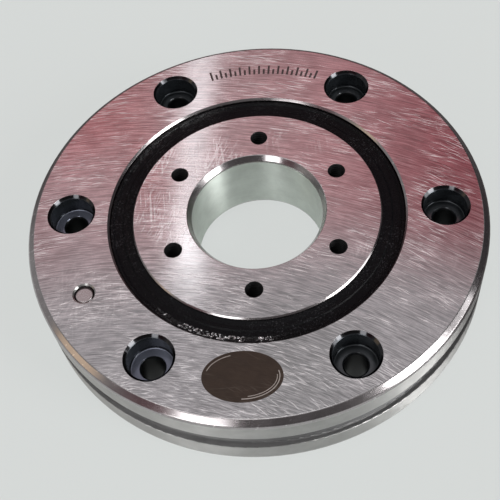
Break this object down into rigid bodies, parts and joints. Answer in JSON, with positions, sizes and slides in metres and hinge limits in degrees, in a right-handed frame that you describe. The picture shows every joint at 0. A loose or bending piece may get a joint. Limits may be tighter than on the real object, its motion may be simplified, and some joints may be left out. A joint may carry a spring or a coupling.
{
  "type": "slewing ring bearing",
  "caption": "Compact crossed roller slewing ring: flat outer ring with counterbored bolt holes, inner ring with a plain bore and tapped holes, rubber-sealed on both faces.",
  "frame": {"origin": "on the axis of rotation, in the plane of the lower faces of both rings", "axes": "+Z along the axis of rotation, towards the face that the counterbores open on; +X through the centre of one bolt hole"},
  "size_m": [0.07, 0.07, 0.012],
  "materials": {
    "outer_ring_steel": "ground bearing steel, counterbores dark from heat treatment",
    "inner_ring_steel": "ground bearing steel",
    "seal_rubber": "moulded nitrile rubber, lightly greased",
    "plug_steel": "turned and ground with the outer ring",
    "pin_steel": "ground",
    "roller_steel": "lapped bearing steel",
    "spacer_resin": "moulded resin, greased"
  },
  "bodies": {
    "outer": {"outer_ring": "outer_ring_steel", "upper_seal": "seal_rubber", "lower_seal": "seal_rubber", "filler_plug": "plug_steel", "plug_pin": "pin_steel"},
    "inner": {"inner_ring": "inner_ring_steel"},
    "roller_train": {"spacer_01": "spacer_resin", "spacer_02": "spacer_resin", "spacer_03": "spacer_resin", "spacer_04": "spacer_resin", "spacer_05": "spacer_resin", "spacer_06": "spacer_resin", "spacer_07": "spacer_resin", "spacer_08": "spacer_resin", "spacer_09": "spacer_resin", "spacer_10": "spacer_resin", "spacer_11": "spacer_resin", "spacer_12": "spacer_resin", "spacer_13": "spacer_resin", "spacer_14": "spacer_resin", "spacer_15": "spacer_resin", "spacer_16": "spacer_resin", "spacer_17": "spacer_resin", "spacer_18": "spacer_resin", "spacer_19": "spacer_resin", "spacer_20": "spacer_resin", "spacer_21": "spacer_resin", "spacer_22": "spacer_resin"},
    "roller_01_body": {"roller_01": "roller_steel"},
    "roller_02_body": {"roller_02": "roller_steel"},
    "roller_03_body": {"roller_03": "roller_steel"},
    "roller_04_body": {"roller_04": "roller_steel"},
    "roller_05_body": {"roller_05": "roller_steel"},
    "roller_06_body": {"roller_06": "roller_steel"},
    "roller_07_body": {"roller_07": "roller_steel"},
    "roller_08_body": {"roller_08": "roller_steel"},
    "roller_09_body": {"roller_09": "roller_steel"},
    "roller_10_body": {"roller_10": "roller_steel"},
    "roller_11_body": {"roller_11": "roller_steel"},
    "roller_12_body": {"roller_12": "roller_steel"},
    "roller_13_body": {"roller_13": "roller_steel"},
    "roller_14_body": {"roller_14": "roller_steel"},
    "roller_15_body": {"roller_15": "roller_steel"},
    "roller_16_body": {"roller_16": "roller_steel"},
    "roller_17_body": {"roller_17": "roller_steel"},
    "roller_18_body": {"roller_18": "roller_steel"},
    "roller_19_body": {"roller_19": "roller_steel"},
    "roller_20_body": {"roller_20": "roller_steel"},
    "roller_21_body": {"roller_21": "roller_steel"},
    "roller_22_body": {"roller_22": "roller_steel"}
  },
  "joints": [
    {"name": "inner_turn", "type": "hinge", "parent": "outer", "child": "inner", "pos_m": [0, 0, 0.006], "axis": [0, 0, 1], "continuous": true},
    {"name": "train_turn", "type": "hinge", "parent": "outer", "child": "roller_train", "pos_m": [0, 0, 0.006], "axis": [0, 0, 1], "continuous": true},
    {"name": "roller_01_spin", "type": "hinge", "parent": "roller_train", "child": "roller_01_body", "pos_m": [0.02075, 0, 0.006], "axis": [0.7071, 0, 0.7071], "continuous": true},
    {"name": "roller_02_spin", "type": "hinge", "parent": "roller_train", "child": "roller_02_body", "pos_m": [0.01991, 0.00585, 0.006], "axis": [-0.6785, -0.1992, 0.7071], "continuous": true},
    {"name": "roller_03_spin", "type": "hinge", "parent": "roller_train", "child": "roller_03_body", "pos_m": [0.01746, 0.01122, 0.006], "axis": [0.5949, 0.3823, 0.7071], "continuous": true},
    {"name": "roller_04_spin", "type": "hinge", "parent": "roller_train", "child": "roller_04_body", "pos_m": [0.01359, 0.01568, 0.006], "axis": [-0.4631, -0.5344, 0.7071], "continuous": true},
    {"name": "roller_05_spin", "type": "hinge", "parent": "roller_train", "child": "roller_05_body", "pos_m": [0.00862, 0.01887, 0.006], "axis": [0.2937, 0.6432, 0.7071], "continuous": true},
    {"name": "roller_06_spin", "type": "hinge", "parent": "roller_train", "child": "roller_06_body", "pos_m": [0.00295, 0.02054, 0.006], "axis": [-0.1006, -0.6999, 0.7071], "continuous": true},
    {"name": "roller_07_spin", "type": "hinge", "parent": "roller_train", "child": "roller_07_body", "pos_m": [-0.00295, 0.02054, 0.006], "axis": [-0.1006, 0.6999, 0.7071], "continuous": true},
    {"name": "roller_08_spin", "type": "hinge", "parent": "roller_train", "child": "roller_08_body", "pos_m": [-0.00862, 0.01887, 0.006], "axis": [0.2937, -0.6432, 0.7071], "continuous": true},
    {"name": "roller_09_spin", "type": "hinge", "parent": "roller_train", "child": "roller_09_body", "pos_m": [-0.01359, 0.01568, 0.006], "axis": [-0.4631, 0.5344, 0.7071], "continuous": true},
    {"name": "roller_10_spin", "type": "hinge", "parent": "roller_train", "child": "roller_10_body", "pos_m": [-0.01746, 0.01122, 0.006], "axis": [0.5949, -0.3823, 0.7071], "continuous": true},
    {"name": "roller_11_spin", "type": "hinge", "parent": "roller_train", "child": "roller_11_body", "pos_m": [-0.01991, 0.00585, 0.006], "axis": [-0.6785, 0.1992, 0.7071], "continuous": true},
    {"name": "roller_12_spin", "type": "hinge", "parent": "roller_train", "child": "roller_12_body", "pos_m": [-0.02075, 0, 0.006], "axis": [0.7071, 0, 0.7071], "continuous": true},
    {"name": "roller_13_spin", "type": "hinge", "parent": "roller_train", "child": "roller_13_body", "pos_m": [-0.01991, -0.00585, 0.006], "axis": [-0.6785, -0.1992, 0.7071], "continuous": true},
    {"name": "roller_14_spin", "type": "hinge", "parent": "roller_train", "child": "roller_14_body", "pos_m": [-0.01746, -0.01122, 0.006], "axis": [0.5949, 0.3823, 0.7071], "continuous": true},
    {"name": "roller_15_spin", "type": "hinge", "parent": "roller_train", "child": "roller_15_body", "pos_m": [-0.01359, -0.01568, 0.006], "axis": [-0.4631, -0.5344, 0.7071], "continuous": true},
    {"name": "roller_16_spin", "type": "hinge", "parent": "roller_train", "child": "roller_16_body", "pos_m": [-0.00862, -0.01887, 0.006], "axis": [0.2937, 0.6432, 0.7071], "continuous": true},
    {"name": "roller_17_spin", "type": "hinge", "parent": "roller_train", "child": "roller_17_body", "pos_m": [-0.00295, -0.02054, 0.006], "axis": [-0.1006, -0.6999, 0.7071], "continuous": true},
    {"name": "roller_18_spin", "type": "hinge", "parent": "roller_train", "child": "roller_18_body", "pos_m": [0.00295, -0.02054, 0.006], "axis": [-0.1006, 0.6999, 0.7071], "continuous": true},
    {"name": "roller_19_spin", "type": "hinge", "parent": "roller_train", "child": "roller_19_body", "pos_m": [0.00862, -0.01887, 0.006], "axis": [0.2937, -0.6432, 0.7071], "continuous": true},
    {"name": "roller_20_spin", "type": "hinge", "parent": "roller_train", "child": "roller_20_body", "pos_m": [0.01359, -0.01568, 0.006], "axis": [-0.4631, 0.5344, 0.7071], "continuous": true},
    {"name": "roller_21_spin", "type": "hinge", "parent": "roller_train", "child": "roller_21_body", "pos_m": [0.01746, -0.01122, 0.006], "axis": [0.5949, -0.3823, 0.7071], "continuous": true},
    {"name": "roller_22_spin", "type": "hinge", "parent": "roller_train", "child": "roller_22_body", "pos_m": [0.01991, -0.00585, 0.006], "axis": [-0.6785, 0.1992, 0.7071], "continuous": true}
  ],
  "couplings": [
    {"joint": "train_turn", "follows": "inner_turn", "ratio": 0.4574},
    {"joint": "roller_01_spin", "follows": "inner_turn", "ratio": -4.1199},
    {"joint": "roller_02_spin", "follows": "inner_turn", "ratio": -4.1199},
    {"joint": "roller_03_spin", "follows": "inner_turn", "ratio": -4.1199},
    {"joint": "roller_04_spin", "follows": "inner_turn", "ratio": -4.1199},
    {"joint": "roller_05_spin", "follows": "inner_turn", "ratio": -4.1199},
    {"joint": "roller_06_spin", "follows": "inner_turn", "ratio": -4.1199},
    {"joint": "roller_07_spin", "follows": "inner_turn", "ratio": -4.1199},
    {"joint": "roller_08_spin", "follows": "inner_turn", "ratio": -4.1199},
    {"joint": "roller_09_spin", "follows": "inner_turn", "ratio": -4.1199},
    {"joint": "roller_10_spin", "follows": "inner_turn", "ratio": -4.1199},
    {"joint": "roller_11_spin", "follows": "inner_turn", "ratio": -4.1199},
    {"joint": "roller_12_spin", "follows": "inner_turn", "ratio": -4.1199},
    {"joint": "roller_13_spin", "follows": "inner_turn", "ratio": -4.1199},
    {"joint": "roller_14_spin", "follows": "inner_turn", "ratio": -4.1199},
    {"joint": "roller_15_spin", "follows": "inner_turn", "ratio": -4.1199},
    {"joint": "roller_16_spin", "follows": "inner_turn", "ratio": -4.1199},
    {"joint": "roller_17_spin", "follows": "inner_turn", "ratio": -4.1199},
    {"joint": "roller_18_spin", "follows": "inner_turn", "ratio": -4.1199},
    {"joint": "roller_19_spin", "follows": "inner_turn", "ratio": -4.1199},
    {"joint": "roller_20_spin", "follows": "inner_turn", "ratio": -4.1199},
    {"joint": "roller_21_spin", "follows": "inner_turn", "ratio": -4.1199},
    {"joint": "roller_22_spin", "follows": "inner_turn", "ratio": -4.1199}
  ]
}
